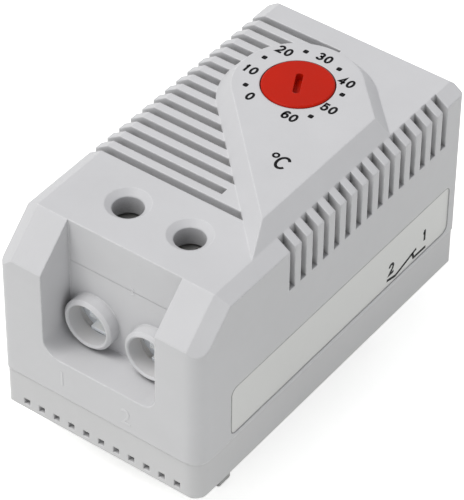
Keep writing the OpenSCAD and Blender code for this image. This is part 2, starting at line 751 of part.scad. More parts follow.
module leaf_contact() lift() color([0.86, 0.86, 0.84])
    bar(0, contact_y, leaf_z - leaf_contact_h, contact_r, leaf_contact_h);

module bimetal_strip() lift() color([0.70, 0.70, 0.66]) strip(bimetal_z, bimetal_t, bimetal_end_y);

module bimetal_contact() lift() color([0.86, 0.86, 0.84])
    bar(0, contact_y, bimetal_top, contact_r, bimetal_contact_h);

module armature() lift() color([0.55, 0.55, 0.55])
    block(0, armature_y - armature_l / 2, bimetal_z - armature_t, armature_w, armature_l, armature_t);

module magnet() lift() color([0.25, 0.25, 0.26])
    block(0, armature_y - armature_l / 2, magnet_top - magnet_t, armature_w, armature_l, magnet_t);

module stack_screw() lift() color([0.80, 0.80, 0.78]) difference() {
    union() {
        bar(0, stack_y, busbar_top + stack_washer_t, stack_head_r, stack_head_h);
        bar(0, stack_y, post_top / 2, stack_screw_r, busbar_top + stack_washer_t + over - post_top / 2);
    }
    block(0, stack_y - stack_head_r, busbar_top + stack_washer_t + stack_head_h / 2, clamp_slot_w,
        2 * stack_head_r, stack_head_h);
}

module stack_spacer() lift() color([0.90, 0.88, 0.82]) difference() {
    block(0, strip_root_y, bimetal_top, stack_l, stack_l, leaf_z - bimetal_top);
    bar(0, stack_y, bimetal_top - over, stack_hole_r, leaf_z - bimetal_top + 2 * over);
}

module stack_sleeve() lift() color([0.88, 0.86, 0.80]) difference() {
    bar(0, stack_y, low_bar_z, sleeve_r, busbar_top - low_bar_z);
    bar(0, stack_y, low_bar_z - over, stack_screw_r + run_gap, busbar_top - low_bar_z + 2 * over);
}

module stack_washers() lift() color([0.55, 0.30, 0.20]) for (z = [post_top, busbar_top]) difference() {
    bar(0, stack_y, z, stack_r, stack_washer_t);
    bar(0, stack_y, z - over, stack_screw_r + run_gap, stack_washer_t + 2 * over);
}

module busbar_1() lift() color([0.83, 0.68, 0.35]) difference() {
    union() {
        block(-terminal_x, busbar_front_y, busbar_z, busbar_w,
            stack_y + stack_l / 2 - busbar_front_y, busbar_t);
        block(-terminal_x / 2, strip_root_y, busbar_z, terminal_x + stack_l - over, stack_l, busbar_t);
    }
    bar(0, stack_y, busbar_z - over, stack_hole_r, busbar_t + 2 * over);
}

module busbar_2() lift() color([0.83, 0.68, 0.35]) difference() {
    union() {
        block(terminal_x, busbar_front_y, busbar_z, busbar_w, riser_y - busbar_front_y, busbar_t);
        block(terminal_x, riser_y - busbar_t, low_bar_z, busbar_w, busbar_t, busbar_top - low_bar_z);
        block(terminal_x, riser_y - busbar_t, low_bar_z, busbar_w,
            stack_y + stack_l / 2 - riser_y + busbar_t, busbar_t);
        block(terminal_x / 2, strip_root_y, low_bar_z, terminal_x + stack_l - over, stack_l, busbar_t);
    }
    bar(0, stack_y, low_bar_z - over, stack_hole_r, busbar_t + 2 * over);
}

// Lift cage: a frame round the wire and the bus bar, threaded on top, with a tongue to guide the wire
module terminal_cage(x) lift() color([0.80, 0.80, 0.77]) difference() {
    union() {
        block(x, cage_front_y, cage_foot_z, cage_w, cage_back_y - cage_front_y,
            cage_top_z + cage_top_t - cage_foot_z);
        block(x, cage_front_y - tongue_reach, cage_foot_z + cage_wall - tongue_t, tongue_w,
            tongue_reach + over, tongue_t + over);
    }
    block(x, cage_front_y - tongue_reach - over, cage_foot_z + cage_wall, cage_w - 2 * cage_wall,
        cage_back_y - cage_front_y + tongue_reach + 2 * over, cage_top_z - cage_foot_z - cage_wall);
    bar(x, access_y, cage_top_z - over, clamp_screw_r + run_gap, cage_top_t + 2 * over);
}

module terminal_screw(x) lift() color([0.78, 0.78, 0.75]) difference() {
    union() {
        bar(x, access_y, busbar_top + run_gap, clamp_screw_r, clamp_head_z - busbar_top);
        bar(x, access_y, clamp_head_z, clamp_head_r, clamp_head_h);
    }
    for (a = [0, 90]) translate([x, access_y, clamp_head_z + clamp_head_h - clamp_slot_d]) rotate([0, 0, a])
        block(0, -clamp_head_r * 3 / 4, 0, clamp_slot_w, clamp_head_r * 3 / 2, clamp_slot_d + over);
}

module terminal_cage_1() terminal_cage(-terminal_x);
module terminal_cage_2() terminal_cage(terminal_x);
module terminal_screw_1() terminal_screw(-terminal_x);
module terminal_screw_2() terminal_screw(terminal_x);

// Sliding latch: a guided plate with a wide hook that faces the fixed hooks, and a small foot at each end
module rail_latch() lift() color([0.72, 0.72, 0.71]) difference() {
    union() {
        block(0, latch_out_y, -latch_plate_t - side_gap, 2 * latch_half_w, latch_in_y - latch_out_y,
            latch_plate_t);
        translate([0, hook_leg_y + latch_leg_y, 0]) mirror([0, 1, 0])
            along_x(2 * hook_x) polygon(hook_outline(-side_gap));
        translate([0, -hook_leg_y - leg_t + latch_foot_l / 2, latch_foot_h / 2 - base_z])
            along_y(latch_foot_l) rounded_rect(2 * latch_foot_x, latch_foot_h, even(hook_bevel));
    }
    block(0, window_y, -seat_h, 2 * window_half_w, window_l, seat_h);
    block(0, latch_out_y + latch_slot_set, -seat_h, latch_slot_w, latch_slot_l, seat_h);
}

// Compression spring between the fixed peg and the latch's window
module latch_spring() lift() color([0.72, 0.73, 0.74]) {
    rings = [for (i = [0:spring_steps]) let (
        before = spring_path[max(i - 1, 0)], after = spring_path[min(i + 1, spring_steps)],
        way = (after - before) / norm(after - before),
        radial = [cos(360 * i / spring_rings), 0, sin(360 * i / spring_rings)],
        out = (radial - (radial * way) * way) / norm(radial - (radial * way) * way),
        across_way = cross(way, out))
        [for (k = [0:spring_sides - 1]) spring_path[i] + spring_wire_r *
            (cos(360 * k / spring_sides) * out + sin(360 * k / spring_sides) * across_way)]];
    points = [for (r = rings) each r];
    walls = [for (i = [0:spring_steps - 1], k = [0:spring_sides - 1]) let (
        n = (k + 1) % spring_sides, a = i * spring_sides, b = a + spring_sides)
        each [[a + k, a + n, b + n], [a + k, b + n, b + k]]];
    ends = [[for (k = [spring_sides - 1:-1:0]) k],
        [for (k = [0:spring_sides - 1]) spring_steps * spring_sides + k]];
    polyhedron(points, concat(walls, ends), convexity = spring_curls);
}

housing();
rear_cover();
dial_knob();
dial_washer();
bridge_plate();
bridge_screws();
threaded_bush();
setting_screw();
setting_leaf();
leaf_contact();
bimetal_strip();
bimetal_contact();
armature();
magnet();
stack_screw();
stack_spacer();
stack_sleeve();
stack_washers();
busbar_1();
busbar_2();
terminal_cage_1();
terminal_cage_2();
terminal_screw_1();
terminal_screw_2();
rail_latch();
latch_spring();
label_plate();
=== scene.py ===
import json
import math

import bmesh
import bpy
from mathutils import Matrix, Vector


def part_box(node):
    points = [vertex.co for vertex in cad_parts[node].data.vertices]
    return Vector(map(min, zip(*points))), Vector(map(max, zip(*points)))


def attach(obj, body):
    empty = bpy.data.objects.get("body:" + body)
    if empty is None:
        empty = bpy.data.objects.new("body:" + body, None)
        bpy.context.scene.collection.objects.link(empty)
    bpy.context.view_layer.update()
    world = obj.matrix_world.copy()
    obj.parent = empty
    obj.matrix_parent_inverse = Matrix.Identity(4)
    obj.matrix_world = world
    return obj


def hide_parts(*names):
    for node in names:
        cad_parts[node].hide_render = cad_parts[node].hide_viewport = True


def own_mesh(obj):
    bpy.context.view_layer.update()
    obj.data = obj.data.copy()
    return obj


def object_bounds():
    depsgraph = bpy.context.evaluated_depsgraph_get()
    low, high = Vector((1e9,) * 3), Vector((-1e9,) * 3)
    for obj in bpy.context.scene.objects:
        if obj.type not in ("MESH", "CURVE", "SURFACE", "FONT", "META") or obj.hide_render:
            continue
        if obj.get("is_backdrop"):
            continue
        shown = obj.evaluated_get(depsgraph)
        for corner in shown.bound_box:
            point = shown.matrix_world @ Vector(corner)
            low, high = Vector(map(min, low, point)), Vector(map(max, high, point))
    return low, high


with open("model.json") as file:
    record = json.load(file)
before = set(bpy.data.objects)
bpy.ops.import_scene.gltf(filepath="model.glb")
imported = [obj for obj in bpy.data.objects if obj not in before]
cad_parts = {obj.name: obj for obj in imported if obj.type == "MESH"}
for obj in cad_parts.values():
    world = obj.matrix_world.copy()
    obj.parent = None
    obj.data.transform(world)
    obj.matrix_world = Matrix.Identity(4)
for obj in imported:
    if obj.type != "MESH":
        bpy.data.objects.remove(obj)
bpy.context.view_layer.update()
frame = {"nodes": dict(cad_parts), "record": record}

MM = 0.001
NODES = frame["nodes"]
JOINTS = {joint["name"]: joint for joint in frame["record"]["behaviour"]["joints"]}
SCENE = bpy.context.scene

# The photograph's camera, fitted to about forty of its points. Lengths in mm, angles in degrees.
PHOTO_W = 464
AZIMUTH, ELEVATION, ROLL = 36.17, 42.02, 0.63
AIM = Vector((0, 0, 25.7))
SHIFT_RIGHT, SHIFT_UP, DISTANCE = -0.434, -3.077, 415.0
FOCAL_PX = 3056.0
SENSOR = 36.0
CLIP_NEAR_M, CLIP_FAR_M = 0.01, 20.0

# Places in the CAD frame, in mm. The rear cover, its rail hooks aside, reaches COVER_H below the housing, and
# the recess runs RECESS_L in from the near end.
COVER_H, RECESS_L = 6.4, 6.0
CASE_LOW, CASE_HIGH = (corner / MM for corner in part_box("housing"))
END_Y = CASE_LOW.y
RECESS_Y = END_Y + RECESS_L
BASE_Z = CASE_LOW.z - COVER_H
PLATE_Z = CASE_HIGH.z
DIAL_X, DIAL_Y = (place / MM for place in JOINTS["dial_turn"]["pos_m"][:2])

# Light and floor. Both the sky and the floor show whiter than they light the object.
WHITE = (1.0, 1.0, 1.0, 1.0)
SKY_COLOR, SKY_STRENGTH = (0.965, 0.970, 1.0, 1.0), 0.50
KEY_COLOR, KEY_STRENGTH = (1.0, 0.99, 0.975), 1.56
KEY_SPREAD_DEG = 30
KEY_FROM = Vector((-0.27, -0.33, 0.81))
FLOOR_HALF_M = 3.0
FLOOR_DULL, FLOOR_PALE = (0.872, 0.878, 0.850, 1.0), (0.892, 0.898, 0.870, 1.0)
FLOOR_GLOW = 0.66

# Noise patterns, each as scale, detail and roughness
NOISE = {
    "plastic_cloud": (85.0, 4.0, 0.6),
    "plastic_speck": (900.0, 5.0, 0.65),
    "plastic_grain": (5200.0, 2.0, 0.5),
    "metal_patch": (260.0, 5.0, 0.6),
    "metal_lines": (1800.0, 3.0, 0.6),
    "metal_grain": (6000.0, 2.0, 0.5),
    "mineral_cloud": (500.0, 4.0, 0.6),
    "ink_thin": (7000.0, 3.0, 0.7),
    "film_cloud": (120.0, 4.0, 0.6),
    "shadow_gaps": (700.0, 3.0, 0.6),
    "paper": (40.0, 3.0, 0.55),
}
# The part of a noise's range that most of its values lie in
NOISE_LOW, NOISE_HIGH = 0.3, 0.7
# Masks made from a noise: the values that it grows between, and what it grows from and to
MASK = {
    "plastic_speck": (0.62, 0.80, 0.0, 0.35),
    "plastic_wear_and_highlight": (0.35, 0.60, 0.35, 1.0),
    "metal_stain": (0.35, 0.75, 0.0, 1.0),
    "metal_dull": (0.40, 0.75, 0.0, 0.10),
    "mineral_cloud": (0.35, 0.70, 0.0, 1.0),
    "ink_thin": (0.62, 0.78, 0.0, 0.5),
    "shadow_gaps": (0.25, 0.60, 0.75, 1.0),
}

# Tones, as shares of a material's own colour. A speck is darker by this many times the mottle.
# A plastic's paler edge tone is partly wear and partly a painted highlight where edges catch the light.
PLASTIC_WORN_AND_LIT, SPECK_DARKER = 1.34, 2.5
# METAL_SHADED is the tone of painted shade on metal in deep holes.
METAL_CLEAN, METAL_STAINED, METAL_RUBBED, METAL_SHADED = 1.03, 0.88, 1.12, 0.06
MINERAL_DARK, MINERAL_PALE, MINERAL_RUBBED = 0.93, 1.05, 1.15
INK_THIN = 2.6
FILM_DARK, FILM_PALE = 0.985, 1.015

# Roughness: how far it goes below and above a material's own value, how much a rubbed edge takes off, and the
# whole range of the ink and of the film
PLASTIC_SPAN, METAL_SPAN, MINERAL_SPAN = (0.04, 0.05), (0.06, 0.08), (0.05, 0.08)
RUB_SMOOTHS = 0.12
INK_ROUGH, FILM_ROUGH = (0.40, 0.55), (0.34, 0.44)
# Specular levels
MINERAL_SHINE, INK_SHINE, FILM_SHINE = 0.35, 0.10, 0.4

# Relief, as depth in mm and strength, and the first noise's share where two make it
PLASTIC_DEPTH, PLASTIC_FIRST = 0.012, 0.7
METAL_RELIEF, METAL_FIRST = (0.006, 0.25), 0.8
MINERAL_RELIEF, INK_RELIEF, FILM_RELIEF = (0.01, 0.3), (0.004, 0.3), (0.010, 0.15)
# A mineral's grains to the metre, and how far from its middle a grain of the second colour ends
MINERAL_GRAIN, SPOT_END = 3200.0, 0.35

# Painted shade in holes and slots, which darkens the colour where shade falls: how far round a point it is
# looked for, in mm, the openness at which it is full and at which it ends, and its share of a material's
# painted shade
HOLE_REACH, HOLE_SHUT, HOLE_FREE, HOLE_SHARE = 5.0, 0.04, 0.42, 0.85
SLOT_REACH, SLOT_SHUT, SLOT_FREE, SLOT_SHARE = 1.5, 0.19, 0.74, 0.96
# The recess's end of the object keeps only this share of the painted shade, which grows to 1 between these
# two places on Y
RECESS_SHADE_SHARE, SHADE_WEAK_Y, SHADE_FULL_Y = 0.42, RECESS_Y + 0.5, RECESS_Y + 2.5
PAINTED_SHADE_TINT = (0.12, 0.12, 0.116)
# The openness at which the painted shade on a metal is full and at which it ends
METAL_SHUT, METAL_FREE = 0.05, 0.60

# Edges: rays a point, the cosine of the normal's turn that counts as a whole edge, the width of a rounding in
# mm, and how far an edge is worn
SAMPLES = 8
EDGE_TURN = 0.86
METAL_EDGE, MINERAL_EDGE = 0.12, 0.1
METAL_WEAR, MINERAL_WEAR = 0.6, 0.4

# The painted shadow line under the label pocket's upper and near lips, in mm: its set-in, the round of its
# corners, and its width each way
POCKET_SHADOW_SLIP, POCKET_SHADOW_ROUND, POCKET_SHADOW_IN, POCKET_SHADOW_OUT = 0.33, 1.2, 0.10, 0.04
POCKET_SHADOW_COLOR, POCKET_SHADOW_MOST = (0.03, 0.03, 0.03, 1.0), 0.80

# Sockets of Blender's Mix node when it mixes colours
MIX_FACTOR, MIX_FIRST, MIX_SECOND, MIX_RESULT = 0, 6, 7, 2


# Node materials

class Graph:
    """A small helper round the node tree of a material or of the world."""

    def __init__(self, owner, output="ShaderNodeOutputMaterial"):
        owner.use_nodes = True
        self.owner = owner
        self.nodes = owner.node_tree.nodes
        self.links = owner.node_tree.links
        self.nodes.clear()
        self.out = self.nodes.new(output)

    def feed(self, socket, value):
        """Links a socket to another node's output, or sets it to a plain value."""
        if isinstance(value, bpy.types.NodeSocket):
            self.links.new(value, socket)
        else:
            socket.default_value = value

    def node(self, kind, inputs=None, **settings):
        made = self.nodes.new(kind)
        for key, value in settings.items():
            setattr(made, key, value)
        for key, value in (inputs or {}).items():
            self.feed(made.inputs[key], value)
        return made

    def coords(self):
        """The object's own coordinates, from one node for the whole tree."""
        known = self.nodes.get("coords")
        if known is None:
            known = self.nodes.new("ShaderNodeTexCoord")
            known.name = "coords"
        return known.outputs["Object"]

    def noise(self, name, stretch=None):
        vector = self.coords()
        if stretch:
            vector = self.node("ShaderNodeMapping", {"Vector": vector, "Scale": stretch}).outputs[0]
        scale, detail, rough = NOISE[name]
        return self.node("ShaderNodeTexNoise", {
            "Vector": vector, "Scale": scale, "Detail": detail, "Roughness": rough}).outputs["Fac"]

    def math(self, operation, first, second=0.0):
        made = self.node("ShaderNodeMath", operation=operation)
        for socket, value in zip(made.inputs, (first, second)):
            self.feed(socket, value)
        return made.outputs[0]

    def remap(self, value, low, high, to_low, to_high):
        return self.node("ShaderNodeMapRange", {
            "Value": value, "From Min": low, "From Max": high, "To Min": to_low, "To Max": to_high},
            clamp=True).outputs[0]

    def across(self, noise, to_low, to_high):
        """Spreads a noise's usual range from to_low to to_high."""
        return self.remap(noise, NOISE_LOW, NOISE_HIGH, to_low, to_high)

    def around(self, noise, value, span):
        """Spreads a noise's usual range about a value, by the span below and above it."""
        below, above = span
        return self.across(noise, value - below, value + above)

    def mask(self, noise, name):
        return self.remap(noise, *MASK[name])

    def blend(self, first, second, share):
        """The sum of two values, of which the first has this share."""
        return self.math("ADD", self.math("MULTIPLY", first, share), self.math("MULTIPLY", second, 1 - share))

    def mix(self, factor, first, second):
        made = self.node("ShaderNodeMix", data_type="RGBA", blend_type="MIX", clamp_factor=True)
        for key, value in ((MIX_FACTOR, factor), (MIX_FIRST, first), (MIX_SECOND, second)):
            self.feed(made.inputs[key], value)
        return made.outputs[MIX_RESULT]

    def soft_edge(self, radius):
        """The normal with its edges rounded over radius, and a mask that is 1 on those edges."""
        bevel = self.node("ShaderNodeBevel", {"Radius": radius}, samples=SAMPLES).outputs[0]
        plain = self.node("ShaderNodeNewGeometry").outputs["Normal"]
        turn = self.node("ShaderNodeVectorMath", {0: bevel, 1: plain}, operation="DOT_PRODUCT")
        return bevel, self.remap(turn.outputs["Value"], 1.0, EDGE_TURN, 0.0, 1.0)

    def enclosed(self, reach, shut, free, most):
        """A mask that is most where the surroundings within reach shut a point in, and 0 where it is free."""
        near = self.node("ShaderNodeAmbientOcclusion", {"Distance": reach}, samples=SAMPLES).outputs["AO"]
        return self.remap(near, shut, free, most, 0.0)

    def painted_shade(self, painted_shade_share):
        """A mask of painted shade for deep holes and narrow slots, weaker at the recess's end of the object.
        """
        hole = self.enclosed(HOLE_REACH * MM, HOLE_SHUT, HOLE_FREE, HOLE_SHARE * painted_shade_share)
        slot = self.enclosed(SLOT_REACH * MM, SLOT_SHUT, SLOT_FREE, SLOT_SHARE * painted_shade_share)
        along = self.node("ShaderNodeSeparateXYZ", {"Vector": self.coords()}).outputs["Y"]
        kept = self.remap(along, SHADE_WEAK_Y * MM, SHADE_FULL_Y * MM, RECESS_SHADE_SHARE, 1.0)
        return self.math("MULTIPLY", self.math("MAXIMUM", hole, slot), kept)

    def background_rays(self):
        """1 for the rays that show the background, which are camera, glossy and transmission rays."""
        rays = self.node("ShaderNodeLightPath").outputs
        seen = self.math("MAXIMUM", rays["Is Camera Ray"], rays["Is Glossy Ray"])
        return self.math("MAXIMUM", seen, rays["Is Transmission Ray"])

    def bump(self, height, depth, strength, normal=None):
        inputs = {"Height": height, "Distance": depth * MM, "Strength": strength}
        if normal is not None:
            inputs["Normal"] = normal
        return self.node("ShaderNodeBump", inputs).outputs[0]

    def surface(self, shader):
        self.links.new(shader.outputs[0], self.out.inputs["Surface"])
        return self.owner


def shade(color, factor):
    return (color[0] * factor, color[1] * factor, color[2] * factor, 1.0)


def moulded(name, color, rough=0.5, edge=0.35, grain=0.40, mottle=0.03, edge_wear_and_highlight=0.8, specular=0.4,
            painted_shade_share=0.90):
    """Injection moulded plastic: a spark-eroded grain, slight clouding, edges paler from wear and a painted
    highlight, and painted shade in its holes and slots.
    """
    graph = Graph(bpy.data.materials.new(name))
    normal, edges = graph.soft_edge(edge * MM)
    cloud = graph.noise("plastic_cloud")
    speck = graph.noise("plastic_speck")
    fine = graph.noise("plastic_grain")
    base = graph.mix(graph.across(cloud, 0.0, 1.0), shade(color, 1 - mottle), shade(color, 1 + mottle))
    base = graph.mix(graph.mask(speck, "plastic_speck"), base, shade(color, 1 - SPECK_DARKER * mottle))
    # Paler edges: partly wear, partly a painted highlight where edges catch the light.
    wear_and_highlight = graph.math("MULTIPLY", edges, graph.mask(speck, "plastic_wear_and_highlight"))
    base = graph.mix(graph.math("MULTIPLY", wear_and_highlight, edge_wear_and_highlight), base, shade(color, PLASTIC_WORN_AND_LIT))
    # Painted shade: the colour darkens in holes and slots, where shade falls.
    if painted_shade_share:
        shade_tone = (*(part * tint for part, tint in zip(color, PAINTED_SHADE_TINT)), 1.0)
        base = graph.mix(graph.painted_shade(painted_shade_share), base, shade_tone)
    smooth = graph.math("MULTIPLY", wear_and_highlight, RUB_SMOOTHS)
    roughness = graph.math("SUBTRACT", graph.around(cloud, rough, PLASTIC_SPAN), smooth)
    height = graph.blend(fine, speck, PLASTIC_FIRST)
    return graph.surface(graph.node("ShaderNodeBsdfPrincipled", {
        "Base Color": base, "Roughness": roughness, "Specular IOR Level": specular,
        "Normal": graph.bump(height, PLASTIC_DEPTH, grain, normal)}))


def metal(name, color, rough, drawn=(1.0, 0.06, 1.0), metallic=1.0, painted_shade_share=0.0, glow=0.0):
    """Bare or plated metal: a drawn or rolled grain, tarnish in patches, bright rubbed edges, and if asked
    painted shade in deep holes and a glow of painted light.
    """
    graph = Graph(bpy.data.materials.new(name))
    normal, edges = graph.soft_edge(METAL_EDGE * MM)
    patch = graph.noise("metal_patch")
    lines = graph.noise("metal_lines", stretch=drawn)
    fine = graph.noise("metal_grain")
    base = graph.mix(graph.mask(patch, "metal_stain"), shade(color, METAL_CLEAN), shade(color, METAL_STAINED))
    base = graph.mix(graph.math("MULTIPLY", edges, METAL_WEAR), base, shade(color, METAL_RUBBED))
    # Painted shade: the colour darkens in deep holes, where shade falls.
    if painted_shade_share:
        shut_in = graph.enclosed(HOLE_REACH * MM, METAL_SHUT, METAL_FREE, painted_shade_share)
        base = graph.mix(shut_in, base, shade(color, METAL_SHADED))
    roughness = graph.math("ADD", graph.around(lines, rough, METAL_SPAN), graph.mask(patch, "metal_dull"))
    height = graph.blend(lines, fine, METAL_FIRST)
    shader = graph.node("ShaderNodeBsdfPrincipled", {
        "Base Color": base, "Metallic": metallic, "Roughness": roughness,
        "Normal": graph.bump(height, *METAL_RELIEF, normal)})
    if glow:
        graph.feed(shader.inputs["Emission Color"], base)
        graph.feed(shader.inputs["Emission Strength"], glow)
    return graph.surface(shader)


def mineral(name, color, rough, spots, share=0.25):
    """Fired ceramic, ferrite or pressed fibre: grains of a second colour and a dry surface."""
    graph = Graph(bpy.data.materials.new(name))
    normal, edges = graph.soft_edge(MINERAL_EDGE * MM)
    grains = graph.node("ShaderNodeTexVoronoi", {"Vector": graph.coords(), "Scale": MINERAL_GRAIN})
    grains = grains.outputs["Distance"]
    cloud = graph.noise("mineral_cloud")
    cloudy = graph.mask(cloud, "mineral_cloud")
    base = graph.mix(cloudy, shade(color, MINERAL_DARK), shade(color, MINERAL_PALE))
    base = graph.mix(graph.remap(grains, 0.0, SPOT_END, share, 0.0), base, (*spots, 1.0))
    base = graph.mix(graph.math("MULTIPLY", edges, MINERAL_WEAR), base, shade(color, MINERAL_RUBBED))
    return graph.surface(graph.node("ShaderNodeBsdfPrincipled", {
        "Base Color": base, "Roughness": graph.around(cloud, rough, MINERAL_SPAN),
        "Specular IOR Level": MINERAL_SHINE, "Normal": graph.bump(grains, *MINERAL_RELIEF, normal)}))


def ink(name, color):
    """Pad-printed ink: dense and rather matt, with tiny thin spots."""
    graph = Graph(bpy.data.materials.new(name))
    thin = graph.noise("ink_thin")
    base = graph.mix(graph.mask(thin, "ink_thin"), shade(color, 1.0), shade(color, INK_THIN))
    return graph.surface(graph.node("ShaderNodeBsdfPrincipled", {
        "Base Color": base, "Roughness": graph.across(thin, *INK_ROUGH),
        "Specular IOR Level": INK_SHINE, "Normal": graph.bump(thin, *INK_RELIEF)}))


def label_film(name, color):
    """Matt film in a shallow pocket: faint clouding, and a painted shadow line along the pocket's upper and
    near edges.
    """
    graph = Graph(bpy.data.materials.new(name))
    low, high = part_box("label_plate")
    cloud = graph.noise("film_cloud")
    base = graph.mix(graph.across(cloud, 0.0, 1.0), shade(color, FILM_DARK), shade(color, FILM_PALE))
    # How far a point lies past the straight part of a frame with round corners, set in from those two edges
    split = graph.node("ShaderNodeSeparateXYZ", {"Vector": graph.coords()}).outputs
    squares = []
    for value, near, far, slip in ((split["Y"], low.y, high.y, POCKET_SHADOW_SLIP),
                                   (split["Z"], low.z, high.z, -POCKET_SHADOW_SLIP)):
        middle, half = (near + far) / 2 + slip * MM, (far - near) / 2 - POCKET_SHADOW_ROUND * MM
        away = graph.math("ABSOLUTE", graph.math("SUBTRACT", value, middle))
        past = graph.math("MAXIMUM", graph.math("SUBTRACT", away, half), 0.0)
        squares.append(graph.math("POWER", past, 2.0))
    length = graph.math("SQRT", graph.math("ADD", *squares))
    # Painted shadow: a dark line where the pocket's lips shade the film, broken up by noise.
    rim = graph.remap(length, (POCKET_SHADOW_ROUND - POCKET_SHADOW_IN) * MM, (POCKET_SHADOW_ROUND + POCKET_SHADOW_OUT) * MM, 0.0, POCKET_SHADOW_MOST)
    pocket_shadow = graph.math("MULTIPLY", rim, graph.mask(graph.noise("shadow_gaps"), "shadow_gaps"))
    return graph.surface(graph.node("ShaderNodeBsdfPrincipled", {
        "Base Color": graph.mix(pocket_shadow, base, POCKET_SHADOW_COLOR), "Roughness": graph.across(cloud, *FILM_ROUGH),
        "Specular IOR Level": FILM_SHINE, "Normal": graph.bump(graph.noise("plastic_grain"), *FILM_RELIEF)}))


ROLLED = (1.0, 0.04, 1.0)
FINISH = {
    "housing_plastic": moulded("housing_plastic", (0.652, 0.653, 0.664)),
    "cover_plastic": moulded("cover_plastic", (0.640, 0.640, 0.645), painted_shade_share=0.30),
    "dial_red": moulded("dial_red", (0.54, 0.0125, 0.0015), rough=0.42, edge=0.2, grain=0.24, mottle=0.05,
                        edge_wear_and_highlight=0.2, specular=0.12, painted_shade_share=0.0),
    "latch_plastic": moulded("latch_plastic", (0.50, 0.50, 0.49), rough=0.45),
    "label_film": label_film("label_film", (0.757, 0.760, 0.745)),
    "spring_steel": metal("spring_steel", (0.50, 0.51, 0.53), rough=0.28),
    "plated_steel": metal("plated_steel", (0.84, 0.84, 0.83), rough=0.42, metallic=0.45),
    "brass": metal("brass", (0.72, 0.52, 0.22), rough=0.26),
    "spring_bronze": metal("spring_bronze", (0.66, 0.42, 0.20), rough=0.28, drawn=ROLLED),
    "silver_contact": metal("silver_contact", (0.80, 0.79, 0.76), rough=0.20),
    "bimetal": metal("bimetal", (0.47, 0.46, 0.43), rough=0.34, drawn=ROLLED),
    "magnet_ferrite": mineral("magnet_ferrite", (0.055, 0.055, 0.060), rough=0.6, spots=(0.12, 0.12, 0.13)),
    "ceramic": mineral("ceramic", (0.74, 0.70, 0.60), rough=0.55, spots=(0.55, 0.50, 0.42)),
    "fibre": mineral("fibre", (0.22, 0.07, 0.04), rough=0.75, spots=(0.34, 0.16, 0.09), share=0.4),
}
# The cages' bright walls throw light back and forth. A weak glow stands in for bounces that the render drops.
CAGE_STEEL = metal("cage_steel", (0.80, 0.83, 0.86), rough=0.40, metallic=0.45, glow=0.20)
# The terminal screws get painted shade where they sit deep in their holes.
SCREW_STEEL = metal("screw_steel", (0.60, 0.60, 0.59), rough=0.40, metallic=0.8, painted_shade_share=0.75)
OWN_FINISH = {
    "terminal_cage_1": CAGE_STEEL, "terminal_cage_2": CAGE_STEEL,
    "terminal_screw_1": SCREW_STEEL, "terminal_screw_2": SCREW_STEEL,
}
for row in frame["record"]["subparts"]:
    part = NODES[row["node"]]
    part.data.materials.clear()
    part.data.materials.append(OWN_FINISH.get(row["node"], FINISH[row["material_slot"]]))

# The latch's spring, a copy of the CAD coil that rides on the case in its place
coil = bpy.data.objects.new("latch_spring_coil", NODES["latch_spring"].data.copy())
coil.matrix_world = NODES["latch_spring"].matrix_world.copy()
SCENE.collection.objects.link(coil)
low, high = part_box("latch_spring")
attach(coil, "case")
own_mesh(coil)
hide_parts("latch_spring")

# The moulded marks are of the housing's plastic, here in a paler copy: a painted highlight on the raised
# marks.
LIT_MARK = moulded("mark_plastic_lit", (0.690, 0.692, 0.702), edge=0.03, grain=0.20, painted_shade_share=0.0)
PRINT = ink("print_black", (0.0035, 0.0035, 0.0045))


# Printed and moulded marks, in mm

UP = Vector((0, 0, 1))
TO_FRONT = Vector((0, -1, 0))
TO_RIGHT = Vector((1, 0, 0))
PRINT_T = 0.015
MARK_T = 0.05
FONT_STEPS = 6
RING_STEPS = 32
CORNER_STEPS = 4
MERGE = 1e-5
MITRE_LEAST = 0.4


def text_mesh(words, height):
    """The built-in font's outlines as flat mesh data, scaled to a height, and centred."""
    curve = bpy.data.curves.new("glyphs", "FONT")
    curve.body = words
    curve.size = 1.0
    curve.resolution_u = FONT_STEPS
    holder = bpy.data.objects.new("glyphs", curve)
    SCENE.collection.objects.link(holder)
    bpy.context.view_layer.update()
    mesh = bpy.data.meshes.new_from_object(holder.evaluated_get(bpy.context.evaluated_depsgraph_get()))
    bpy.data.objects.remove(holder)
    bpy.data.curves.remove(curve)
    across = [point.co.x for point in mesh.vertices]
    along = [point.co.y for point in mesh.vertices]
    scale = height / (max(along) - min(along))
    middle_x, middle_y = (max(across) + min(across)) / 2, (max(along) + min(along)) / 2
    for point in mesh.vertices:
        point.co = Vector(((point.co.x - middle_x) * scale, (point.co.y - middle_y) * scale, 0))
    return mesh


def add_mesh(form, mesh, matrix):
    """Adds mesh data to a form through a matrix."""
    start = len(form.verts)
    form.from_mesh(mesh)
    form.verts.ensure_lookup_table()
    for point in form.verts[start:]:
        point.co = matrix @ point.co


def thicken(form, normal, depth):
    """Flat faces become a closed sheet that stands depth proud of where they lay."""
    bmesh.ops.remove_doubles(form, verts=form.verts, dist=MERGE)
    made = bmesh.ops.extrude_face_region(form, geom=list(form.faces))
    moved = [item for item in made["geom"] if isinstance(item, bmesh.types.BMVert)]
    bmesh.ops.translate(form, verts=moved, vec=normal * depth)
    bmesh.ops.recalc_face_normals(form, faces=form.faces)


def piece(name, form, material, body):
    """Makes an object of a form, whose lengths are in mm, and lets it ride on a body."""
    for point in form.verts:
        point.co *= MM
    mesh = bpy.data.meshes.new(name)
    form.to_mesh(mesh)
    form.free()
    mesh.materials.append(material)
    made = bpy.data.objects.new(name, mesh)
    SCENE.collection.objects.link(made)
    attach(made, body)


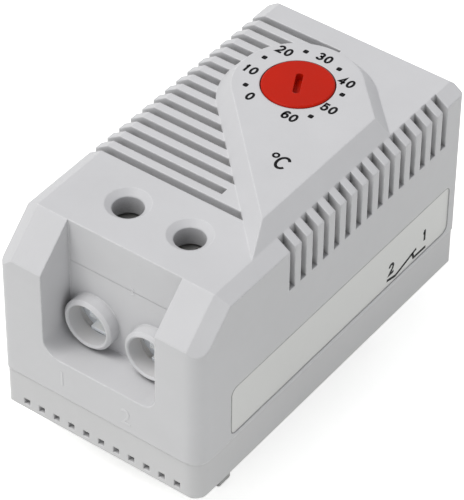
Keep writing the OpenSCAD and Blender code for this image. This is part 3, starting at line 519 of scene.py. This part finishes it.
def place(x_axis, y_axis, origin):
    """A matrix that lays flat outlines with these axes at origin."""
    x, y = Vector(x_axis), Vector(y_axis)
    z = x.cross(y)
    return Matrix(((x.x, y.x, z.x, origin[0]), (x.y, y.y, z.y, origin[1]), (x.z, y.z, z.z, origin[2]),
                   (0, 0, 0, 1)))


def on_plate(x, y):
    """Lays outlines on the dial plate, at a place counted from the dial's middle."""
    return place((1, 0, 0), (0, 1, 0), (DIAL_X + x, DIAL_Y + y, PLATE_Z))


def ring(form, matrix, inner, outer):
    """A flat ring."""
    angles = [2 * math.pi * i / RING_STEPS for i in range(RING_STEPS)]
    loops = [[form.verts.new(matrix @ Vector((radius * math.cos(angle), radius * math.sin(angle), 0)))
              for angle in angles] for radius in (inner, outer)]
    for i in range(RING_STEPS):
        j = (i + 1) % RING_STEPS
        form.faces.new((loops[0][i], loops[0][j], loops[1][j], loops[1][i]))


def rounded_square(form, matrix, side, corner):
    """A flat square with round corners."""
    half = side / 2 - corner
    points = []
    for quarter, (x_sign, y_sign) in enumerate(((1, 1), (-1, 1), (-1, -1), (1, -1))):
        for i in range(CORNER_STEPS + 1):
            angle = math.pi / 2 * (quarter + i / CORNER_STEPS)
            x = x_sign * half + corner * math.cos(angle)
            y = y_sign * half + corner * math.sin(angle)
            points.append(matrix @ Vector((x, y, 0)))
    form.faces.new([form.verts.new(point) for point in points])


def stroke(form, matrix, points, width, closed=False):
    """A flat line of even width through points, with square ends and mitred corners."""
    points = [Vector((*point, 0)) for point in points]
    left, right = [], []
    last = len(points) - 1
    for i, point in enumerate(points):
        before = (point - points[i - 1]).normalized() if i or closed else (points[1] - point).normalized()
        after = (points[(i + 1) % len(points)] - point).normalized() if i < last or closed else before
        across = Vector((-(before + after).y, (before + after).x, 0)).normalized()
        reach = width / 2 / max(MITRE_LEAST, across.dot(Vector((-after.y, after.x, 0))))
        left.append(form.verts.new(matrix @ (point + across * reach)))
        right.append(form.verts.new(matrix @ (point - across * reach)))
    for i in range(len(points) if closed else last):
        j = (i + 1) % len(points)
        form.faces.new((right[i], right[j], left[j], left[i]))


def arc(centre_x, centre_y, radius_x, radius_y, start, end, steps):
    """Points on an ellipse, between two angles in degrees."""
    angles = (math.radians(start + (end - start) * i / steps) for i in range(steps + 1))
    return [(centre_x + radius_x * math.cos(angle), centre_y + radius_y * math.sin(angle))
            for angle in angles]


# Middle lines of a plain grotesque's figures, between about -1 and 1 each way, each closed or open
FIGURES = {
    "0": ((True, arc(0, 0, 1, 1, 0, 345, 23)),),
    "1": ((False, [(-0.45, 0.50), (-0.10, 0.56), (0.16, 0.74), (0.26, 1.08)]),
          (False, [(0.26, 1.19), (0.26, -1.19)])),
    "2": ((False, arc(0, 0.44, 0.94, 0.56, 178, -28, 14)
           + [(0.55, -0.15), (-0.35, -0.58), (-0.92, -1.0), (1.22, -1.0)]),),
    "3": ((False, arc(-0.04, 0.49, 0.86, 0.51, 168, -78, 14) + [(-0.32, 0.02)]),
          (False, [(-0.32, 0.02)] + arc(-0.02, -0.47, 0.98, 0.53, 78, -168, 16))),
    "4": ((False, [(0.42, -1.19), (0.42, 1.0), (-1.0, -0.40), (1.25, -0.40)]),),
    "5": ((False, [(0.95, 1.0), (-0.62, 1.0), (-0.82, -0.02)] + arc(0.0, -0.34, 0.98, 0.66, 140, -165, 16)),),
    "6": ((True, arc(0.02, -0.40, 0.96, 0.60, 0, 345, 23)),
          (False, arc(0.12, -0.06, 1.06, 1.06, 42, 200, 14))),
    "C": ((False, arc(0, 0, 1, 1, 38, 322, 26)),),
}


def figure(form, matrix, name, width, height, line):
    """One of the figures, at its outer width and height and with lines of one width."""
    half_w, half_h = (width - line) / 2, (height - line) / 2
    for closed, points in FIGURES[name]:
        stroke(form, matrix, [(x * half_w, y * half_h) for x, y in points], line, closed)


# The scale, at places counted from the dial's middle
NUMBER_W, NUMBER_H, NUMBER_PITCH, NUMBER_LINE = 1.12, 1.72, 1.27, 0.36
NUMBER_AT = {"0": (-3.67, -5.93), "10": (-7.11, -1.25), "20": (-5.68, 4.85), "30": (-0.39, 6.84),
             "40": (5.04, 4.31), "50": (6.34, -1.7), "60": (3.07, -6.18)}
form = bmesh.new()
for number, (x, y) in NUMBER_AT.items():
    for i, digit in enumerate(number):
        step = (i - (len(number) - 1) / 2) * NUMBER_PITCH
        figure(form, on_plate(x + step, y), digit, NUMBER_W, NUMBER_H, NUMBER_LINE)
thicken(form, UP, PRINT_T)
piece("scale_numbers", form, PRINT, "case")

DOT_AT = ((-5.59, -4.33), (-7.05, 2.01), (-3.28, 6.45), (2.55, 6.06), (6.04, 1.8), (5.32, -4.48))
DOT_SIDE, DOT_CORNER = 0.74, 0.2
form = bmesh.new()
for x, y in DOT_AT:
    rounded_square(form, on_plate(x, y), DOT_SIDE, DOT_CORNER)
thicken(form, UP, PRINT_T)
piece("scale_dots", form, PRINT, "case")

DEGREE_AT, DEGREE_INNER, DEGREE_OUTER = (6.34, -13.75), 0.24, 0.56
CELSIUS_AT, CELSIUS_W, CELSIUS_H, CELSIUS_LINE = (7.95, -14.54), 2.05, 2.70, 0.42
form = bmesh.new()
ring(form, on_plate(*DEGREE_AT), DEGREE_INNER, DEGREE_OUTER)
figure(form, on_plate(*CELSIUS_AT), "C", CELSIUS_W, CELSIUS_H, CELSIUS_LINE)
thicken(form, UP, PRINT_T)
piece("degree_mark", form, PRINT, "case")

# Terminal numbers, moulded proud of the end face and of the recess's back wall, each at x, y and up from the
# base, and its height
MARK_AT = (("1", -6.3, END_Y, 9.85, 2.5), ("2", 4.4, END_Y, 9.1, 2.6), ("3", 1.1, RECESS_Y, 25.25, 1.3))
form = bmesh.new()
for digit, x, y, z, height in MARK_AT:
    add_mesh(form, text_mesh(digit, height), place((1, 0, 0), (0, 0, 1), (x, y, BASE_Z + z)))
thicken(form, TO_FRONT, MARK_T)
piece("terminal_marks", form, LIT_MARK, "case")

# The label's changeover symbol and its two terminal numbers, at places along Y and up from the base
SYMBOL_LINE = 0.46
SYMBOL = (((13.3, 8.2), (15.4, 7.7), (20.5, 9.1)), ((19.5, 9.0), (19.9, 7.85), (22.9, 7.8)))
LABEL_NUMBER_W, LABEL_NUMBER_H, LABEL_NUMBER_LINE = 1.42, 2.1, 0.44
LABEL_NUMBER_AT = (("2", 14.3, 9.8), ("1", 22.4, 10.2))
low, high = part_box("label_plate")
LABEL_X = high.x / MM
form = bmesh.new()
for points in SYMBOL:
    stroke(form, place((0, 1, 0), (0, 0, 1), (LABEL_X, 0, BASE_Z)), points, SYMBOL_LINE)
for digit, y, z in LABEL_NUMBER_AT:
    figure(form, place((0, 1, 0), (0, 0, 1), (LABEL_X, y, BASE_Z + z)), digit,
           LABEL_NUMBER_W, LABEL_NUMBER_H, LABEL_NUMBER_LINE)
thicken(form, TO_RIGHT, PRINT_T)
piece("label_print", form, PRINT, "case")


# Sky, lamp and floor

world = bpy.data.worlds.new("studio")
SCENE.world = world
graph = Graph(world, "ShaderNodeOutputWorld")
soft = graph.node("ShaderNodeBackground", {"Color": SKY_COLOR, "Strength": SKY_STRENGTH})
white = graph.node("ShaderNodeBackground", {"Color": WHITE, "Strength": 1.0})
graph.surface(graph.node("ShaderNodeMixShader", {
    0: graph.background_rays(), 1: soft.outputs[0], 2: white.outputs[0]}))

key = bpy.data.lights.new("key", "SUN")
key.energy = KEY_STRENGTH
key.angle = math.radians(KEY_SPREAD_DEG)
key.color = KEY_COLOR
lamp = bpy.data.objects.new("key", key)
lamp.rotation_mode = "QUATERNION"
lamp.rotation_quaternion = KEY_FROM.to_track_quat("Z", "Y")
SCENE.collection.objects.link(lamp)

form = bmesh.new()
bmesh.ops.create_grid(form, x_segments=2, y_segments=2, size=FLOOR_HALF_M)
mesh = bpy.data.meshes.new("floor")
form.to_mesh(mesh)
form.free()
floor = bpy.data.objects.new("floor", mesh)
SCENE.collection.objects.link(floor)
graph = Graph(bpy.data.materials.new("floor_white"))
paper = graph.mix(graph.noise("paper"), FLOOR_DULL, FLOOR_PALE)
dull = graph.node("ShaderNodeBsdfDiffuse", {"Color": paper}).outputs[0]
glow = graph.node("ShaderNodeEmission", {"Color": WHITE, "Strength": FLOOR_GLOW}).outputs[0]
lit = graph.node("ShaderNodeAddShader", {0: dull, 1: glow}).outputs[0]
mixed = graph.node("ShaderNodeMixShader", {0: graph.background_rays(), 1: dull, 2: lit})
mesh.materials.append(graph.surface(mixed))
floor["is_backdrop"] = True


# Camera

azimuth, elevation, roll = (math.radians(angle) for angle in (AZIMUTH, ELEVATION, ROLL))
back = Vector((math.sin(azimuth) * math.cos(elevation), -math.cos(azimuth) * math.cos(elevation),
               math.sin(elevation)))
right = Vector((math.cos(azimuth), math.sin(azimuth), 0))
up = back.cross(right)
frame_x = math.cos(roll) * right + math.sin(roll) * up
frame_y = -math.sin(roll) * right + math.cos(roll) * up
spot = (AIM + SHIFT_RIGHT * frame_x + SHIFT_UP * frame_y + DISTANCE * back) * MM
camera = bpy.data.cameras.new("photo")
camera.sensor_fit = "HORIZONTAL"
camera.sensor_width = SENSOR
camera.lens = FOCAL_PX / PHOTO_W * SENSOR
camera.clip_start, camera.clip_end = CLIP_NEAR_M, CLIP_FAR_M
eye = bpy.data.objects.new("photo", camera)
eye.matrix_world = Matrix(((frame_x.x, frame_y.x, back.x, spot.x), (frame_x.y, frame_y.y, back.y, spot.y),
                           (frame_x.z, frame_y.z, back.z, spot.z), (0, 0, 0, 1)))
SCENE.collection.objects.link(eye)
SCENE.camera = eye
SCENE.view_settings.view_transform = "Standard"

low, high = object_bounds()
